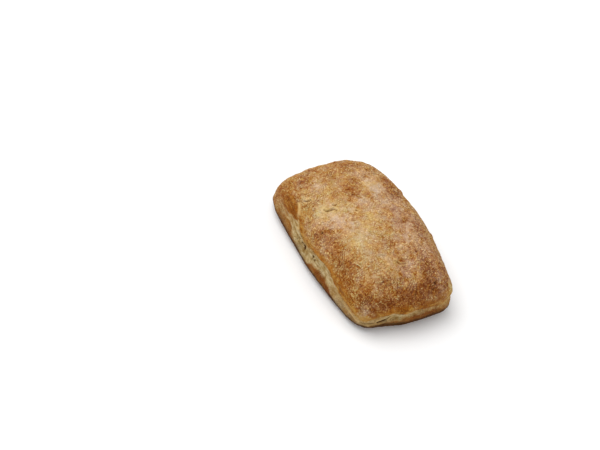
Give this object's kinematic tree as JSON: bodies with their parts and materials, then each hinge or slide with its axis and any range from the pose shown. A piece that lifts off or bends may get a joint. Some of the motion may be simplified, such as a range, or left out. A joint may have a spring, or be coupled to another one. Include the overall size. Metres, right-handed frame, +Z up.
{
  "type": "ciabatta roll",
  "caption": "Oblong ciabatta bread roll, domed and floury on top and flat underneath, its brown crust torn along the sides over a pale strip of crumb.",
  "frame": {"origin": "middle of the flat base, on the surface that the roll lies on", "axes": "+X along the roll's length, +Y across it, +Z up through the domed top"},
  "size_m": [0.135, 0.0914, 0.0452],
  "materials": {
    "crust": "matt floury bread crust, mottled golden brown"
  },
  "bodies": {
    "root": {"bread_roll": "crust"}
  },
  "joints": []
}
